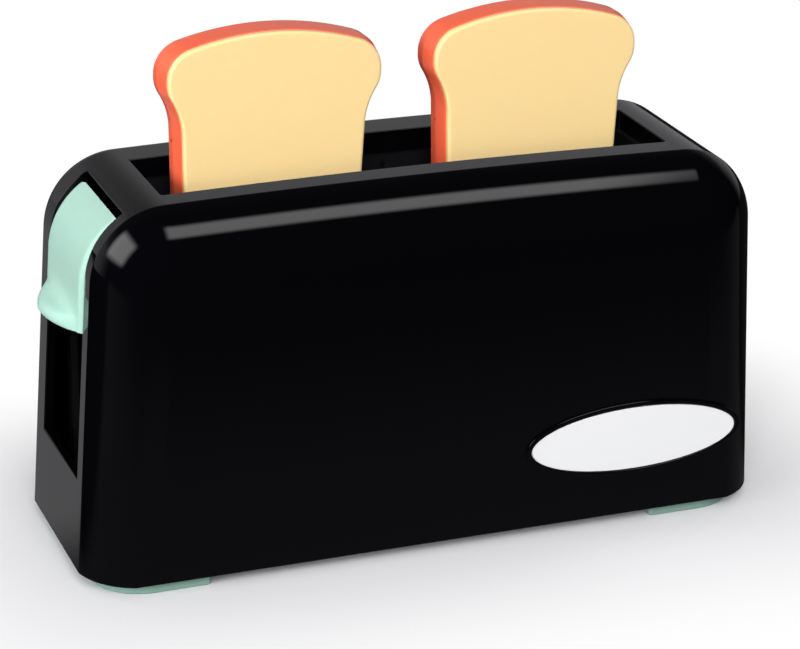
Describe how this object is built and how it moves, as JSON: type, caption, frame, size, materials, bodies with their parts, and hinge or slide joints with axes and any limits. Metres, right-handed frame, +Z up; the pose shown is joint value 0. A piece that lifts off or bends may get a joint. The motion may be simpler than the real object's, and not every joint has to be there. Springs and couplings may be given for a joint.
{
  "type": "toy toaster",
  "caption": "Play toaster for a small child: a rounded box with a lever that lowers and raises toy bread slices through an opening in the top.",
  "frame": {"origin": "on the floor under the feet, midway along the housing and midway between its front and rear faces", "axes": "+Z up, -Y out of the front face that carries the badge, -X out of the end that carries the lever"},
  "size_m": [0.2003, 0.0748, 0.1443],
  "materials": {
    "housing_black": "high gloss, black",
    "mint": "smooth, soft gloss",
    "badge_silver": "satin silver",
    "inner_black": "satin moulded black",
    "shoe_white": "natural slippery plastic",
    "screw_steel": "plated",
    "spring_wire": "bright wire",
    "crust_coral": "soft gloss, coral",
    "crumb_cream": "soft gloss, cream"
  },
  "bodies": {
    "body": {"housing": "housing_black", "badge_plate": "badge_silver", "base_plate": "inner_black", "foot_left": "mint", "foot_right": "mint", "base_screws": "screw_steel", "bread_well": "inner_black", "well_screws": "screw_steel", "lever_guide": "inner_black", "guide_screws": "screw_steel", "return_spring": "spring_wire"},
    "lift": {"crosshead": "inner_black", "guide_shoes": "shoe_white", "bread_tray": "inner_black", "arm_screws": "screw_steel", "lever": "mint", "lever_screws": "screw_steel"},
    "bread_left": {"bread_left_crust": "crust_coral", "bread_left_crumb": "crumb_cream"},
    "bread_right": {"bread_right_crust": "crust_coral", "bread_right_crumb": "crumb_cream"}
  },
  "joints": [
    {"name": "lever_slide", "type": "slide", "parent": "body", "child": "lift", "axis": [0, 0, -1], "range_m": [0, 0.039], "stiffness_N_per_m": 60, "springref_m": -0.03, "deforming": ["return_spring"]},
    {"name": "bread_left_lift", "type": "slide", "parent": "lift", "child": "bread_left", "axis": [0, 0, 1], "range_m": [0, 0.03]},
    {"name": "bread_right_lift", "type": "slide", "parent": "lift", "child": "bread_right", "axis": [0, 0, 1], "range_m": [0, 0.03]}
  ]
}
